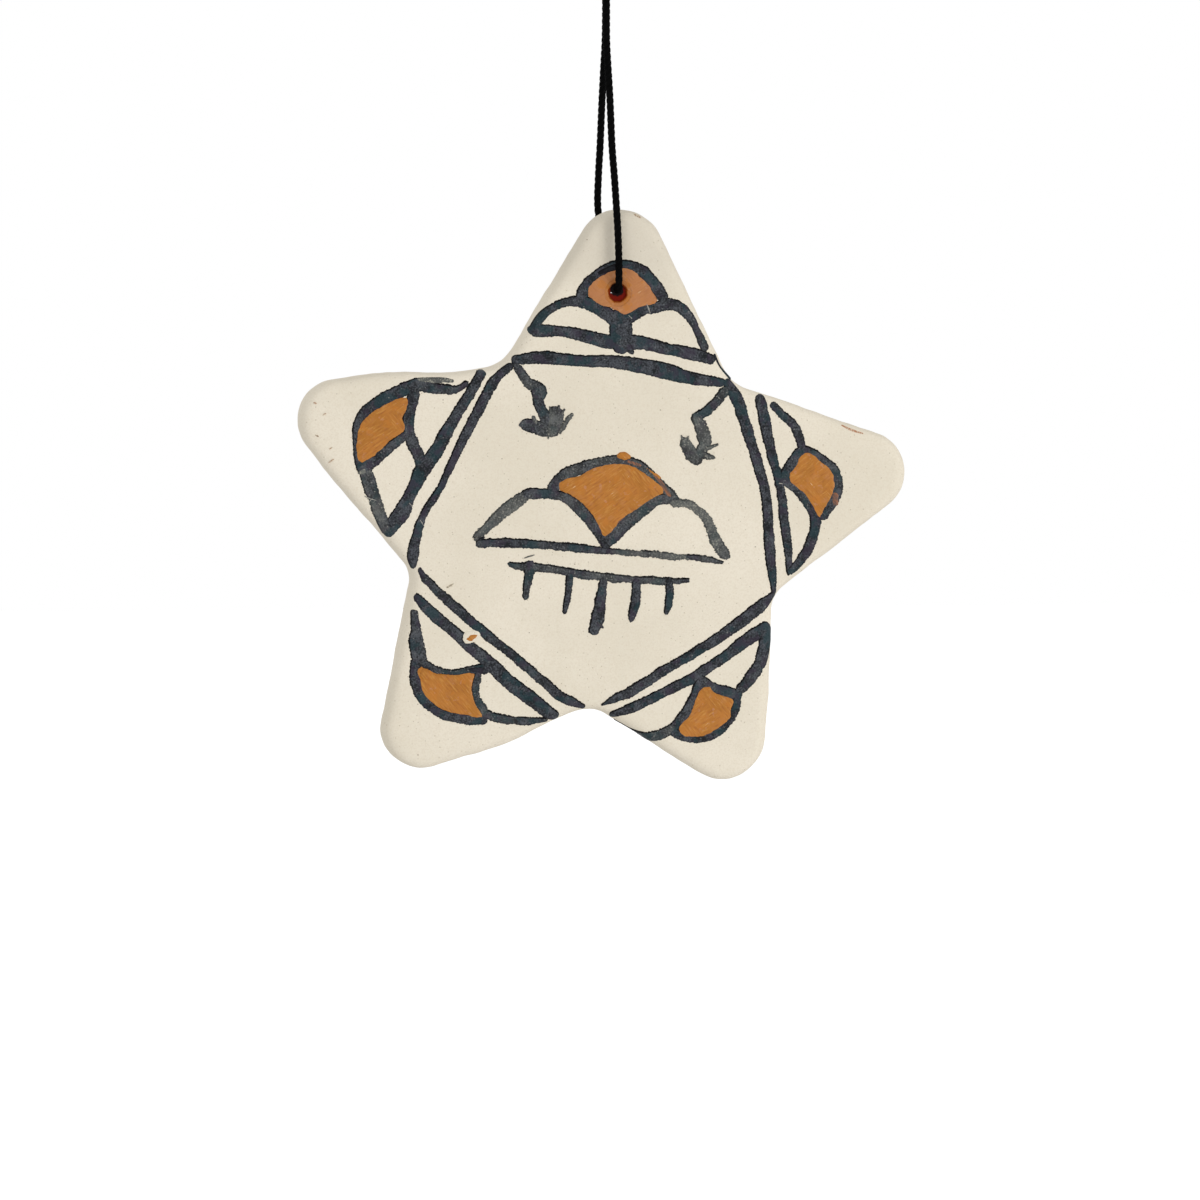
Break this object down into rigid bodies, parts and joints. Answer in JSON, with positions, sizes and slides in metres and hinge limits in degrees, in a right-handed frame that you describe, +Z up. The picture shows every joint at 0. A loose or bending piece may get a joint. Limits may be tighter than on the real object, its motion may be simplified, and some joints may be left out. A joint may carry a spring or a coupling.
{
  "type": "star ornament",
  "caption": "Flat hand-cut clay star with rounded arms and painted cloud and rain motifs, hanging on a thin cord looped through its top arm and tied in a knot.",
  "frame": {"origin": "the hang point in the middle of the cord's knot, straight above the loop", "axes": "+Z up along the hanging cord; the star's painted front faces -Y; +X runs to the right-hand arm as the front is seen"},
  "size_m": [0.0765, 0.0092, 0.1142],
  "materials": {
    "clay": "matte",
    "black_paint": "matte",
    "orange_paint": "satin",
    "cord": "matte"
  },
  "bodies": {
    "knot": {"cord_knot": "cord"},
    "cord": {"hanging_cord": "cord"},
    "star": {"star_body": "clay"}
  },
  "joints": [
    {"name": "cord_twist", "type": "hinge", "parent": "knot", "child": "cord", "pos_m": [0, 0, -0.004], "axis": [0, 0, 1], "range_deg": [-180, 180]},
    {"name": "star_swing", "type": "hinge", "parent": "cord", "child": "star", "pos_m": [0.0011, 0, -0.0462], "axis": [0, 1, 0], "range_deg": [-90, 90]}
  ]
}
